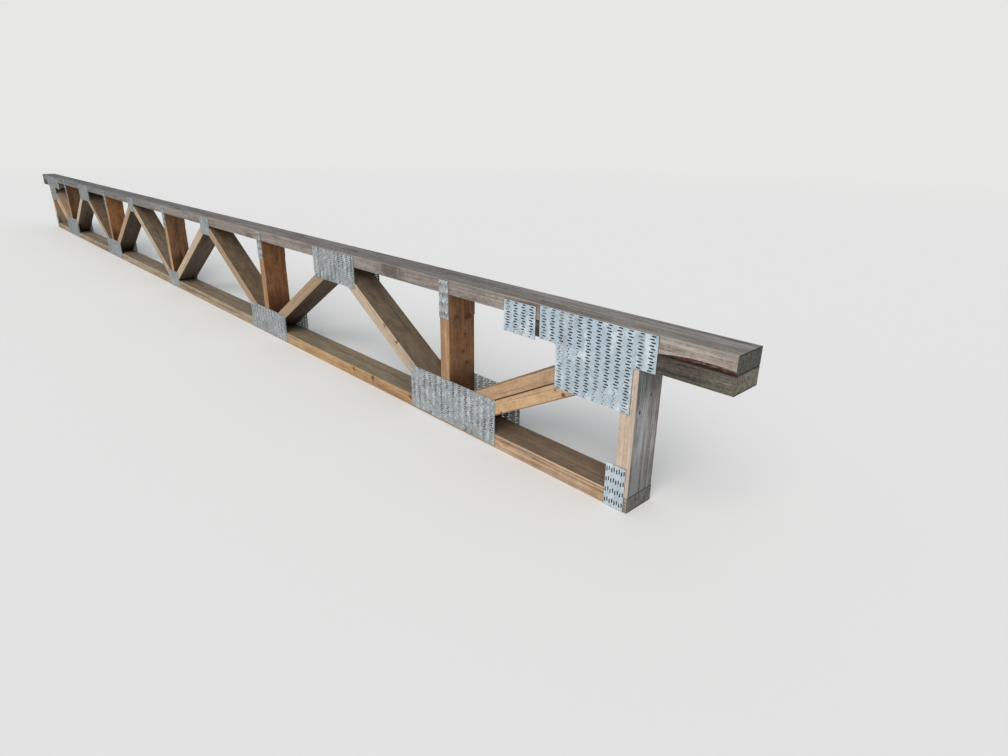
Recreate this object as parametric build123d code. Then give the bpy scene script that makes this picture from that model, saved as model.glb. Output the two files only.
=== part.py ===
from build123d import *
from build123d.topology import SkipClean

import os

# Open-web floor truss. Two level chords are held apart by upright posts and sloping
# web boards, all cut from one size of lumber laid flat. Toothed steel nail plates are
# pressed into the front and the back of every joint. X runs along the truss, the front
# looks towards -Y, and the bottom chord rests on Z = 0 with mid-length at X = 0.

# Lumber, laid flat: its wide side lies across the truss
board_thickness = 38.1
board_width = 88.9
eased_edge = 3.0

# Bark edge on the top chord's lower front corner, from the right end plate to the end
wane_middle = 138.0         # its deepest place, past the end post's outer face
wane_depth = 7.2            # from the sharp corner in to the bark there
wane_radius = 880.0         # the log's sweep along the board
wane_slant = 0.83           # depth for each millimetre of height

# Truss
truss_depth = 406.4
body_length = 5689.6        # between the outer faces of the two end posts
bearing_length = 193.7      # how far the top chord runs past each end post
end_bay = 609.6             # outer face of an end post to the middle of the first web post
inner_bays = 4              # bays between the first and the last web post
doubler_inboard = 377.8     # how far each doubler runs inboard of the end post's outer face

# Nail plates: a plate is counted in slots, each slot in a cell of its own
plate_thickness = 0.91
slot_pitch = 25.4           # along the slots
row_pitch = 6.35            # across the slots
slot_length = 11.0
slot_width = 3.0
row_stagger = 3.2           # every other row is shifted by this along the slots
notch_radius = 8.0          # inner corners of the end plate's two notches

end_plate_band = (12, 12)   # slots along, rows: the band that lies on chord and doubler
end_plate_stem = (8, 16)    # the narrower part that hangs below the band
doubler_plate = (4, 12)
foot_plate = (4, 8)         # upright plates have their slots upright
post_plate = (4, 6)
bottom_plates = ((14, 20), (12, 16), (6, 12))    # at web posts, from the end to the middle
top_plates = ((10, 16), (4, 12))                 # at peaks, from the end to the middle

# Where the plates lie
top_margin = 3.4            # top of the chord down to the peak and post plates
bottom_margin = 5.0         # underside of the chord up to the plates at the web posts
foot_margin = 1.0           # underside of the chord up to the foot plate
end_plate_margin = 2.0      # top of the chord down to the end plate
end_plate_overrun = 36.5    # end plate past the end post's outer face
doubler_plate_margin = 8.4  # top of the chord down to the doubler plate
doubler_plate_overrun = 5.2     # doubler plate past the doubler's inner end
foot_plate_inset = 34.5     # end post's outer face in to the middle of the foot plate
outer_bottom_shift = 20.0   # outermost bottom plates, off their posts towards the near end
outer_top_shift = 8.0       # outermost top plates, off their peaks towards mid-length

# Levels and stations that follow
half_body = body_length / 2
half_length = half_body + bearing_length
inner_bay = (body_length - 2 * end_bay) / inner_bays
top_chord_underside = truss_depth - board_thickness
doubler_underside = top_chord_underside - board_thickness
web_foot = board_thickness
post_half = board_thickness / 2

# Web posts and peaks are numbered from the +X end, which is the right one from the front
post_stations = [half_body - end_bay - inner_bay * i for i in range(inner_bays + 1)]
peak_stations = [(a + b) / 2 for a, b in zip(post_stations, post_stations[1:])]


def eased_board(start, end):
    """A board centred on the line between two (x, z) points, with its long edges eased."""
    axis = Vector(end[0] - start[0], 0, end[1] - start[1])
    section = Plane(origin=(start[0], 0, start[1]), x_dir=(0, 1, 0), z_dir=axis)
    return extrude(section * RectangleRounded(board_width, board_thickness, eased_edge), axis.length)


def level_board(x_low, x_high, underside):
    """A board that lies level, cut square at both ends."""
    middle = underside + board_thickness / 2
    return eased_board((x_low, middle), (x_high, middle))


def upright_board(x, z_low, z_high):
    """A board that stands upright, cut square at both ends."""
    return eased_board((x, z_low), (x, z_high))


def sloping_board(foot, head, x_limits, z_limits):
    """A board along the line from foot to head, sawn off level and plumb at the limits."""
    run = Vector(head[0] - foot[0], 0, head[1] - foot[1])
    spare = run.normalized() * 3 * board_thickness
    low = Vector(foot[0], 0, foot[1]) - spare
    high = Vector(head[0], 0, head[1]) + spare
    long_board = eased_board((low.X, low.Z), (high.X, high.Z))
    width = x_limits[1] - x_limits[0]
    height = z_limits[1] - z_limits[0]
    middle = Pos(sum(x_limits) / 2, 0, sum(z_limits) / 2)
    return long_board & (middle * Box(width, 2 * board_width, height))


def chord_doubler():
    """Board under the right end of the top chord.

    Its faces are divided at the end post's outer face, so that the part of the underside
    that bears on the wall is a face of its own.
    """
    inboard = level_board(half_body - doubler_inboard, half_body, doubler_underside)
    bearing = level_board(half_body, half_length, doubler_underside)
    with SkipClean():
        return inboard.fuse(bearing)


def top_chord():
    """Top chord, with the bark edge that its right end shows past the end plate."""
    board = level_board(-half_length, half_length, top_chord_underside)
    corner = Vector(half_body + wane_middle, -board_width / 2, top_chord_underside)
    outward = Vector(0, -1, -wane_slant).normalized()
    sweep = Plane(
        origin=corner + outward * (wane_radius - wane_depth), x_dir=(1, 0, 0), z_dir=(0, wane_slant, -1)
    )
    return board - sweep * Cylinder(wane_radius, board_width)


def end_web_board(side):
    """One of the two stacked boards that slope up to the bearing end.

    The boards touch along the line from the first web post's foot to the top of the end
    post. The lower one (side -1) is sawn level on the chord and plumb on the end post, the
    upper one (side 1) is sawn plumb on the web post and level under the doubler.
    """
    foot = Vector(post_stations[0] + post_half, 0, web_foot)
    head = Vector(half_body - board_thickness, 0, doubler_underside)
    run = (head - foot).normalized()
    offset = Vector(-run.Z, 0, run.X) * (side * board_thickness / 2)
    low = foot + offset
    high = head + offset
    spare = 3 * board_thickness
    if side < 0:
        x_limits = (foot.X - spare, head.X)
        z_limits = (web_foot, doubler_underside + spare)
    else:
        x_limits = (foot.X, head.X + spare)
        z_limits = (web_foot - spare, doubler_underside)
    return sloping_board((low.X, low.Z), (high.X, high.Z), x_limits, z_limits)


def plate_size(slots):
    """Length along the slots and width across them of a plate given as (slots, rows)."""
    return slots[0] * slot_pitch, slots[1] * row_pitch


def slot_wires(slots, corner, upright=False):
    """Outlines of the slots of one field, whose (x, z) corner is its left lower one."""
    wires = []
    for row in range(slots[1]):
        across = (row + 0.5) * row_pitch
        shift = row_stagger / 2 if row % 2 else -row_stagger / 2
        for column in range(slots[0]):
            along = (column + 0.5) * slot_pitch + shift
            half_u, half_v = slot_length / 2, slot_width / 2
            ends = ((-half_u, -half_v), (half_u, -half_v), (half_u, half_v), (-half_u, half_v))
            points = [(along + u, across + v) for u, v in ends]
            if upright:
                points = [(v, u) for u, v in reversed(points)]
            placed = [(corner[0] + u, 0, corner[1] + v) for u, v in points]
            wires.append(Wire.make_polygon(placed, close=True))
    return wires


def front_sheet(outline, slots):
    """Sheet on the truss's front face with the given outer wire and slot wires."""
    sheet = extrude(Face(outline, slots), plate_thickness, dir=(0, -1, 0))
    return Pos(0, -board_width / 2, 0) * sheet


def rectangular_plate(slots, middle_x, underside, upright=False):
    """Front plate whose lower edge is at the given height."""
    along, across = plate_size(slots)
    width, height = (across, along) if upright else (along, across)
    left, right = middle_x - width / 2, middle_x + width / 2
    corners = ((left, underside), (right, underside), (right, underside + height), (left, underside + height))
    outline = Wire.make_polygon([(x, 0, z) for x, z in corners], close=True)
    return front_sheet(outline, slot_wires(slots, (left, underside), upright))


def end_plate():
    """Front plate of the bearing end: a wide band with a narrower stem, notched both sides."""
    band_length, band_height = plate_size(end_plate_band)
    stem_length, stem_height = plate_size(end_plate_stem)
    right = half_body + end_plate_overrun
    left = right - band_length
    top = truss_depth - end_plate_margin
    shoulder = top - band_height
    stem_left = left + (band_length - stem_length) / 2
    stem_right = stem_left + stem_length
    foot = shoulder - stem_height
    corners = (
        (left, top), (left, shoulder), (stem_left, shoulder), (stem_left, foot),
        (stem_right, foot), (stem_right, shoulder), (right, shoulder), (right, top),
    )
    outline = Wire.make_polygon([(x, 0, z) for x, z in corners], close=True)
    inner = [
        vertex for vertex in outline.vertices()
        if abs(vertex.Z - shoulder) < row_pitch / 2 and stem_left - 1 < vertex.X < stem_right + 1
    ]
    rounded = Face(outline).fillet_2d(notch_radius, inner).outer_wire()
    slots = slot_wires(end_plate_band, (left, shoulder)) + slot_wires(end_plate_stem, (stem_left, foot))
    return front_sheet(rounded, slots)


def to_left(piece):
    """The same piece at the other end of the truss."""
    return mirror(piece, Plane.YZ)


def to_back(piece):
    """The same piece on the back face of the truss."""
    return mirror(piece, Plane.XZ)


pieces = {}


def add_front_and_back(name, plate):
    """Store a plate and its twin on the back face."""
    pieces[f"{name}_front"] = plate
    pieces[f"{name}_back"] = to_back(plate)


# Chords
pieces["top_chord"] = top_chord()
pieces["bottom_chord"] = level_board(-half_body, half_body, 0)

# Bearing ends, made at the right and mirrored
right_end = {
    "chord_doubler": chord_doubler(),
    "end_post": upright_board(half_body - post_half, web_foot, doubler_underside),
    "lower_end_web": end_web_board(-1),
    "upper_end_web": end_web_board(1),
}
for name, board in right_end.items():
    pieces[f"{name}_right"] = board
    pieces[f"{name}_left"] = to_left(board)

# Web posts, and between them two web boards that meet at each peak
for i, x in enumerate(post_stations, 1):
    pieces[f"web_post_{i}"] = upright_board(x, web_foot, top_chord_underside)

web_number = 1
for right_post, peak, left_post in zip(post_stations, peak_stations, post_stations[1:]):
    for face, limits in (
        (right_post - post_half, (peak, right_post - post_half)),
        (left_post + post_half, (left_post + post_half, peak)),
    ):
        levels = (web_foot, top_chord_underside)
        web = sloping_board((face, web_foot), (peak, top_chord_underside), limits, levels)
        pieces[f"web_board_{web_number}"] = web
        web_number += 1

# Nail plates of the bearing ends, made at the right and mirrored
doubler_plate_length, doubler_plate_height = plate_size(doubler_plate)
doubler_plate_left = half_body - doubler_inboard - doubler_plate_overrun
right_plates = {
    "end_plate": end_plate(),
    "doubler_plate": rectangular_plate(
        doubler_plate,
        doubler_plate_left + doubler_plate_length / 2,
        truss_depth - doubler_plate_margin - doubler_plate_height,
    ),
    "foot_plate": rectangular_plate(foot_plate, half_body - foot_plate_inset, foot_margin, upright=True),
}
for name, plate in right_plates.items():
    add_front_and_back(f"{name}_right", plate)
    add_front_and_back(f"{name}_left", to_left(plate))

# Nail plates under the peaks' row and along the bottom, symmetric about mid-length
post_plate_height = plate_size(post_plate)[0]
for i, x in enumerate(post_stations):
    from_end = min(i, inner_bays - i)
    size = bottom_plates[min(from_end, len(bottom_plates) - 1)]
    outward = 1 if x > 0 else -1
    shift = outward * outer_bottom_shift if from_end == 0 else 0
    add_front_and_back(f"bottom_plate_{i + 1}", rectangular_plate(size, x + shift, bottom_margin))
    head = rectangular_plate(post_plate, x, truss_depth - top_margin - post_plate_height, upright=True)
    pieces[f"post_plates_{i + 1}"] = Compound([head.solid(), to_back(head).solid()])

for i, x in enumerate(peak_stations):
    from_end = min(i, inner_bays - 1 - i)
    size = top_plates[min(from_end, len(top_plates) - 1)]
    inward = -1 if x > 0 else 1
    shift = inward * outer_top_shift if from_end == 0 else 0
    underside = truss_depth - top_margin - plate_size(size)[1]
    add_front_and_back(f"top_plate_{i + 1}", rectangular_plate(size, x + shift, underside))

os.makedirs("parts", exist_ok=True)
for name, piece in pieces.items():
    export_step(piece, f"parts/{name}.step", write_pcurves=False)
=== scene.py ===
"""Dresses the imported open-web floor truss and sets its camera, floor and light.

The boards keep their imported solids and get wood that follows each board's own grain. The
nail plates keep their solids and get galvanised steel, and the teeth that were punched out
of their slots are modelled here. A strip of bark lies on the wane of the top chord.
"""

import logging
import math
from collections.abc import Callable
from dataclasses import dataclass, field, replace
from enum import Enum
from functools import reduce

import bpy
from mathutils import Matrix, Vector


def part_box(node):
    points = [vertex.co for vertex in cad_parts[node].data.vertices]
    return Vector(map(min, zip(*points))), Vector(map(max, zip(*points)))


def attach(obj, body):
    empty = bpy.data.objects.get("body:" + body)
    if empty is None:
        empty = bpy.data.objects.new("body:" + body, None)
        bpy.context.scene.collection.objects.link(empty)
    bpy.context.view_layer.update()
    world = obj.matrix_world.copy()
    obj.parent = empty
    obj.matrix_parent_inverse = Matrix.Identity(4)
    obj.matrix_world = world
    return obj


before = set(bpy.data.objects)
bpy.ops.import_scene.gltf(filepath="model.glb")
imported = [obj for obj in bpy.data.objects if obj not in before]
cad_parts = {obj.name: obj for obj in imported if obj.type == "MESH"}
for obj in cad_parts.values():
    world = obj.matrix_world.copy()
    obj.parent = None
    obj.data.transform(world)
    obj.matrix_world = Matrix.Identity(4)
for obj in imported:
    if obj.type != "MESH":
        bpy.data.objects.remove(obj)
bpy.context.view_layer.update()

logging.basicConfig(level=logging.INFO, format="%(message)s")
log = logging.getLogger("floor_truss")

Colour = tuple[float, float, float]
Point = tuple[float, float, float]
Spot = tuple[float, float, float, float]
Socket = bpy.types.NodeSocket
Material = bpy.types.Material
Piece = bpy.types.Object

BODY = "root"

# Sizes in metres, and counts of rows and slots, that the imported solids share
BOARD_THICKNESS = 0.0381
BOARD_WIDTH = 0.0889
HALF_THICKNESS = BOARD_THICKNESS / 2
HALF_WIDTH = BOARD_WIDTH / 2
EASED_EDGE = 0.003
PLATE_THICKNESS = 0.00091
SLOT_PITCH = 0.0254
ROW_PITCH = 0.00635
SLOT_LENGTH = 0.011
ROW_STAGGER = 0.0032
END_BAND_ROWS = 12
END_NOTCH_SLOTS = 2

# How far apart in metres two places count as one
NEAR = 1e-5

# Ways that a surface of the truss can face
FRONT = (0, -1, 0)
BACK = (0, 1, 0)
UP = (0, 0, 1)
DOWN = (0, 0, -1)


class SlotWay(Enum):
    """Which way the slots of a plate run."""

    LEVEL = "level"
    UPRIGHT = "upright"


class NodeSheet:
    """Adds shader nodes to one material or world and links each as it is made."""

    def __init__(self, owner: bpy.types.ID) -> None:
        """Start an empty node tree.

        Args:
            owner: Material or world that the nodes belong to.
        """
        owner.use_nodes = True
        self.owner = owner
        self.tree = owner.node_tree
        self.tree.nodes.clear()

    def node(self, kind: str, inputs: tuple | dict = (), **settings: object) -> bpy.types.Node:
        """Add a node.

        Args:
            kind: Node type after "ShaderNode".
            inputs: Other nodes' outputs or plain values, in the sockets' order or by socket.
            **settings: Attributes of the node.

        Returns:
            The new node.
        """
        made = self.tree.nodes.new("ShaderNode" + kind)
        for name, value in settings.items():
            setattr(made, name, value)
        for socket, value in inputs.items() if isinstance(inputs, dict) else enumerate(inputs):
            if isinstance(value, Socket):
                self.tree.links.new(value, made.inputs[socket])
            else:
                made.inputs[socket].default_value = value
        return made

    def close(self, surface: bpy.types.Node, kind: str = "OutputMaterial") -> bpy.types.ID:
        """Join a shader to the output and return the material or world."""
        self.node(kind, {"Surface": surface.outputs[0]})
        return self.owner

    def math(self, operation: str, *values: object, clamp: bool = False) -> Socket:
        """Return the result of one Math node."""
        return self.node("Math", values, operation=operation, use_clamp=clamp).outputs[0]

    def times(self, a: object, b: object) -> Socket:
        """Return the product of two values."""
        return self.math("MULTIPLY", a, b)

    def unsigned(self, a: object) -> Socket:
        """Return a value without its sign."""
        return self.math("ABSOLUTE", a)

    def total(self, *terms: object) -> Socket:
        """Return the sum of several values."""
        return reduce(lambda a, b: self.math("ADD", a, b), terms)

    def vector(self, operation: str, *values: object, output: str = "Vector") -> Socket:
        """Return a result of one Vector Math node."""
        return self.node("VectorMath", values, operation=operation).outputs[output]

    def dot(self, a: object, b: object) -> Socket:
        """Return the dot product of two vectors."""
        return self.vector("DOT_PRODUCT", a, b, output="Value")

    def length(self, a: object) -> Socket:
        """Return the length of a vector."""
        return self.vector("LENGTH", a, output="Value")

    def scaled(self, a: object, factor: object) -> Socket:
        """Return a vector or a colour multiplied by a value."""
        return self.node("VectorMath", {0: a, "Scale": factor}, operation="SCALE").outputs[0]

    def split(self, a: object) -> list[Socket]:
        """Return the three parts of a vector or a colour."""
        return list(self.node("SeparateXYZ", (a,)).outputs)

    def smooth(self, value: object, low: float, high: float, start: float = 0.0, end: float = 1.0) -> Socket:
        """Return start below low and end above high, with a soft step between them."""
        inputs = (value, low, high, start, end)
        return self.node("MapRange", inputs, interpolation_type="SMOOTHSTEP").outputs[0]

    def around(self, value: object, strength: float) -> Socket:
        """Return a 0 to 1 value centred on zero, times a strength."""
        return self.times(self.math("SUBTRACT", value, 0.5), strength)

    def swing(self, value: object, strength: float) -> Socket:
        """Return a noise value stretched to its full range, centred on zero, times a strength."""
        return self.smooth(value, 0.33, 0.67, -strength / 2, strength / 2)

    def mapping(
        self,
        a: object,
        scale: Point = (1, 1, 1),
        move: Point = (0, 0, 0),
        turn: Point = (0, 0, 0),
        kind: str = "POINT",
    ) -> Socket:
        """Return a vector scaled, turned in radians and moved, or of kind TEXTURE all that undone."""
        return self.node("Mapping", (a, move, turn, scale), vector_type=kind).outputs[0]

    def noise(
        self, a: object, rate: float | Point, detail: float = 2.0, rough: float = 0.5, output: str = "Fac"
    ) -> Socket:
        """Draw a noise.

        Args:
            a: Vector that it is drawn over.
            rate: How fine it is, the same every way or along X, Y and Z.
            detail: Its octaves.
            rough: How much the fine octaves count.
            output: Fac for a value from 0 to 1, or Color for three.

        Returns:
            The noise.
        """
        if isinstance(rate, tuple):
            a, rate = self.mapping(a, rate), 1.0
        inputs = {"Vector": a, "Scale": rate, "Detail": detail, "Roughness": rough}
        return self.node("TexNoise", inputs).outputs[output]

    def cells(self, a: object, rate: float = 1.0, feature: str = "F1") -> dict[str, Socket]:
        """Return the outputs of a Voronoi node over a vector."""
        return self.node("TexVoronoi", {"Vector": a, "Scale": rate}, feature=feature).outputs

    def mix(self, share: object, a: object, b: object) -> Socket:
        """Return colour a turned towards colour b by a share from 0 to 1."""
        a, b = ((*colour, 1.0) if isinstance(colour, tuple) else colour for colour in (a, b))
        return self.node("Mix", {0: share, 6: a, 7: b}, data_type="RGBA").outputs[2]

    def graded(self, tone: object, pale: Colour, dark: Colour) -> Socket:
        """Return the colour from pale at a tone of 0 to dark at a tone of 1."""
        return self.mix(self.math("MAXIMUM", tone, 0.0, clamp=True), pale, dark)


class Skin(NodeSheet):
    """Material of a piece: layers of colour laid over one another, on the piece's own coordinates."""

    def __init__(self, name: str) -> None:
        """Start the material.

        Args:
            name: Name of the material.
        """
        super().__init__(bpy.data.materials.new(name))
        coordinates = self.node("TexCoord").outputs
        self.place, self.normal = coordinates["Object"], coordinates["Normal"]
        self.colour: Socket | None = None

    def lay(self, share: object, colour: object) -> None:
        """Lay a colour over those that are there, by a share from 0 to 1."""
        self.colour = self.mix(share, self.colour, colour)

    def facing(self, way: Point, low: float = 0.35, high: float = 0.85) -> Socket:
        """Return 1 where the surface faces one way, 0 where it doesn't."""
        return self.smooth(self.dot(self.normal, way), low, high)

    def square_to(self, line: Point, low: float, high: float, start: float = 0.0, end: float = 1.0) -> Socket:
        """Return end where the surface lies square to a line, and start where it lies along it."""
        return self.smooth(self.unsigned(self.dot(self.normal, line)), low, high, start, end)

    def finish(
        self, roughness: object, height: object, relief: float, metallic: float, specular: float
    ) -> Material:
        """Close the material.

        Args:
            roughness: Roughness.
            height: Height of the fine relief.
            relief: What a height of 1 measures, in metres.
            metallic: How metallic the surface is.
            specular: Specular level.

        Returns:
            The material.
        """
        inputs = {
            "Base Color": self.colour,
            "Roughness": roughness,
            "Normal": self.node("Bump", {"Height": height, "Distance": relief}).outputs[0],
            "Metallic": metallic,
            "Specular IOR Level": specular,
        }
        return self.close(self.node("BsdfPrincipled", inputs))


@dataclass(frozen=True)
class Weather:
    """Tone of the side of a board that faces one way."""

    side: Point
    pale: Colour
    dark: Colour
    amount: float = 0.9
    vein: float = 0.5
    blotch: float = 0.4
    crack: float = 0.8
    mottle: float = 0.2


@dataclass(frozen=True)
class Cover:
    """Part of a board's front and back faces that lies under a nail plate.

    The share says how much of the wood in the slots is pale, and the colour how pale.
    """

    low: Vector
    high: Vector
    pale_share: float
    pale: Colour


@dataclass(frozen=True)
class Tone:
    """Tint that comes in along a board, from one place to another, on every side or on one."""

    start: float
    end: float
    tint: Colour
    side: Point | None = None


@dataclass(frozen=True)
class Wane:
    """Slanting corner of a board, weathered to grey-brown, with the inner bark's dark shreds."""

    side: Point = (0.0, -0.77, -0.64)
    start: float = 2.8820
    dark: Colour = (0.028, 0.021, 0.016)
    mid: Colour = (0.150, 0.115, 0.095)


@dataclass(frozen=True)
class Lumber:
    """Tones and grain of one board.

    The grain is cut from growth rings about a pith that lies beside the board. The tones
    are linear colours of early wood, late wood, stain and the sawn ends, and of painted shade
    in the seams and under the nail plates. The seam shade and the edge band, which is weathered
    grey on the end posts and painted shade on the end webs, lie along the edge that their side,
    1 or -1, points to. A blot is a soft stain.
    """

    pale: Colour
    dark: Colour
    stain: Colour
    stain_amount: float = 0.45
    patch_grey: float = 0.15
    grey: Colour = (0.20, 0.19, 0.17)
    end_pale: Colour = (0.100, 0.098, 0.087)
    end_dark: Colour = (0.015, 0.014, 0.012)
    end_seam_shade: Colour = (0.012, 0.010, 0.008)
    under_plate_stain_and_shade: Colour = (0.014, 0.012, 0.010)
    ring_step: float = 0.0034
    ring_contrast: float = 0.22
    fibre_contrast: float = 0.32
    vein_contrast: float = 0.30
    streak_contrast: float = 0.26
    speck_contrast: float = 0.22
    mottle_contrast: float = 0.22
    pith: tuple[float, float] = (0.012, -0.055)
    lean: tuple[float, float] = (0.9, 0.5)
    knot_colour: Colour = (0.085, 0.042, 0.022)
    knot_share: float = 0.55
    crack: Colour = (0.035, 0.024, 0.016)
    crack_amount: float = 0.12
    weathered_crack: Colour = (0.02, 0.016, 0.013)
    edge_wear_and_highlight: float = 0.6
    weather: tuple[Weather, ...] = ()
    tones: tuple[Tone, ...] = ()
    seam_shade_side: float = 0.0
    seam: Colour = (0.03, 0.022, 0.016)
    edge_grey_and_shade_side: float = 0.0
    edge_grey_and_shade: Colour = (0.085, 0.062, 0.043)
    wane: Wane | None = None
    blots: tuple[Spot, ...] = ()


class WoodSkin(Skin):
    """Wood of one board, each layer drawn from the same rings, knots and noises."""

    knot_rate = 4.6
    knot_radii = (0.004, 0.012)
    no_knot = 99.0

    def __init__(
        self, wood: Lumber, name: str, centre: Vector, turn: float, seed: int, knots: tuple[Spot, ...]
    ) -> None:
        """Lay the board's own frame, its rings, knots and noises.

        Args:
            wood: Its tones and grain.
            name: Name of the material.
            centre: Middle of the board, in metres.
            turn: Turn about Y from the X axis to the board's length, in radians.
            seed: Number that moves the grain so that no two boards match.
            knots: Known knots, besides the scattered ones.
        """
        super().__init__(name)
        self.wood = wood
        self.length_way = (math.cos(turn), 0.0, -math.sin(turn))
        self.local = self.mapping(self.place, move=tuple(centre), turn=(0, turn, 0), kind="TEXTURE")
        self.along, self.across, self.through = self.split(self.local)
        shift = (seed * 3.71 % 11.0, seed * 1.93 % 7.0, seed * 5.37 % 13.0)
        self.steady = self.vector("ADD", self.local, shift)
        self.knot, self.pull = self.knots(knots)
        bent = self.vector("ADD", self.steady, self.wander((3.0, 8, 8), 1, 0.007))
        bent = self.vector("ADD", bent, self.scaled((0.0, 1.0, 1.0), self.pull))
        self.fibre = self.noise(bent, (9, 620, 620), 3, 0.65)
        self.vein = self.noise(bent, (3.2, 210, 210), 3, 0.62)
        self.streak = self.noise(bent, (1.1, 62, 62), 3, 0.6)
        self.blotch = self.noise(self.steady, (3.1, 15, 15), 5, 0.62)
        self.speck = self.noise(self.steady, (110, 210, 210), 3, 0.65)
        self.mottle = self.noise(self.steady, (26, 42, 42), 5, 0.62)
        self.ring = self.rings()
        line = self.cells(self.mapping(bent, (1.6, 55, 55)), feature="DISTANCE_TO_EDGE")["Distance"]
        broken = self.smooth(self.noise(bent, (5, 30, 30)), 0.52, 0.62)
        self.crack = self.times(self.smooth(line, 0.01, 0.06, 1.0, 0.0), broken)

    def wander(self, rate: Point, detail: float, reach: float) -> Socket:
        """Return a soft sideways shift, within half a reach in metres."""
        noise = self.noise(self.steady, rate, detail, output="Color")
        return self.vector("MULTIPLY", self.vector("SUBTRACT", noise, (0.5, 0.5, 0.5)), (0.0, reach, reach))

    def swings(self, start: object, **strengths: float) -> Socket:
        """Return a value plus the named noises, each swung by its own strength."""
        return self.total(start, *(self.swing(getattr(self, name), strengths[name]) for name in strengths))

    def drawn_out(self, value: object, streak: float, vein: float) -> Socket:
        """Return a patchy value, broken up along the grain."""
        return self.total(value, self.around(self.streak, streak), self.around(self.vein, vein))

    def inward(self, value: object, low: float, high: float, end: float = 1.0) -> Socket:
        """Return end on the board's edge and 0 below it, from depths in metres under the edge."""
        return self.smooth(value, HALF_THICKNESS - low, HALF_THICKNESS - high, 0.0, end)

    def spot(self, spot: Spot, squeeze: float = 1.0) -> Socket:
        """Measure the way from a spot's middle.

        Args:
            spot: Middle along, across and through from the board's middle, and radius.
            squeeze: Under 1, how much the spot is drawn out along the board.

        Returns:
            The distance, in radii.
        """
        along, across, through, radius = spot
        off = self.mapping(self.local, (squeeze, 1, 1), (-along * squeeze, -across, -through))
        return self.math("DIVIDE", self.length(off), radius)

    def rings(self) -> Socket:
        """Draw the growth rings.

        Returns:
            How deep in late wood a point is: it rises through each ring and drops at its end.
        """
        across, through = self.wood.pith
        lean = [math.radians(angle) for angle in self.wood.lean]
        log_place = self.mapping(self.local, move=(0, -across, -through), turn=(0.0, *lean))
        off = self.vector("ADD", log_place, self.wander((1.3, 10, 10), 2, 0.03))
        radius = self.length(self.vector("MULTIPLY", off, (0.0, 1.0, 1.0)))
        count = self.math("DIVIDE", self.math("ADD", radius, self.pull), self.wood.ring_step)
        part = self.math("FRACT", count)
        rise_and_drop = self.times(self.smooth(part, 0.35, 0.9), self.smooth(part, 0.93, 1.0, 1.0, 0.0))
        strength = self.smooth(self.noise(count, (0.7, 0.7, 0.7), 1), 0.25, 0.7, 0.35, 1.0)
        return self.times(rise_and_drop, strength)

    def knots(self, known: tuple[Spot, ...]) -> tuple[Socket, Socket]:
        """Lay scattered knots and the known ones.

        Args:
            known: The known ones.

        Returns:
            The knot mask, and how far the rings bend round the knots, in metres.
        """
        cells = self.cells(self.mapping(self.steady, (1, 1, 0.25)), self.knot_rate)
        pick, size, _ = self.split(cells["Color"])
        radius = self.smooth(size, 0.0, 1.0, *self.knot_radii)
        bare = 1.0 - self.wood.knot_share
        missing = self.smooth(pick, bare, bare + 0.001, self.no_knot, 0.0)
        gap = self.math("DIVIDE", self.math("DIVIDE", cells["Distance"], self.knot_rate), radius)
        gap = self.math("ADD", gap, missing)
        for spot in known:
            gap = self.math("MINIMUM", gap, self.spot(spot))
        edge = self.math("ADD", gap, self.swing(self.noise(self.steady, (120, 170, 170), 4, 0.7), 0.9))
        mask = self.times(self.smooth(edge, 0.85, 1.12, 1.0, 0.0), self.smooth(edge, 0.2, 1.0, 1.0, 0.72))
        return mask, self.smooth(gap, 0.4, 3.6, 0.0028, 0.0)

    def dress(self, covers: list[Cover]) -> Material:
        """Lay every layer of the wood.

        Args:
            covers: Where nail plates lie on the board.

        Returns:
            The material.
        """
        self.lay_fresh()
        self.lay(self.times(self.crack, self.wood.crack_amount), self.wood.crack)
        for weather in self.wood.weather:
            self.lay_weather(weather)
        for blot in self.wood.blots:
            near = self.swings(self.spot(blot, 0.5), mottle=0.8, vein=0.4)
            self.lay(self.smooth(near, 0.35, 1.25, 0.78, 0.0), self.wood.stain)
        self.lay(self.knot, self.wood.knot_colour)
        self.lay_worn_and_highlit_edges()
        for tone in self.wood.tones:
            share = self.smooth(self.along, tone.start, tone.end)
            if tone.side:
                share = self.times(share, self.facing(tone.side))
            self.lay(share, self.vector("MULTIPLY", self.colour, tone.tint))
        self.lay_edge_shade_and_wane()
        self.lay_sawn_ends()
        cluster = self.noise(self.place, 17.0, 4, 0.6)
        for cover in covers:
            self.lay_crushed_and_shaded(cover, cluster)
        relief = {"fibre": 0.5, "vein": 0.5, "ring": 0.18, "streak": 0.35, "crack": -1.0, "knot": 0.3}
        height = self.total(*(self.times(getattr(self, part), share) for part, share in relief.items()))
        return self.finish(self.smooth(self.streak, 0.2, 0.8, 0.70, 0.88), height, 0.0008, 0.0, 0.25)

    def lay_fresh(self) -> None:
        """Lay the board's fresh colour with its stains and grey patches."""
        wood = self.wood
        tone = self.swings(
            self.total(0.36, self.times(self.ring, wood.ring_contrast)),
            fibre=wood.fibre_contrast, vein=wood.vein_contrast, streak=wood.streak_contrast,
            speck=wood.speck_contrast, mottle=wood.mottle_contrast,
        )
        self.colour = self.graded(tone, wood.pale, wood.dark)
        damp = self.drawn_out(self.blotch, 0.5, 0.35)
        self.lay(self.smooth(damp, 0.50, 0.74, 0.0, wood.stain_amount), wood.stain)
        dry = self.drawn_out(self.math("SUBTRACT", 1.0, self.blotch), 0.6, 0.5)
        self.lay(self.smooth(dry, 0.45, 0.75, 0.0, wood.patch_grey), wood.grey)

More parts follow.
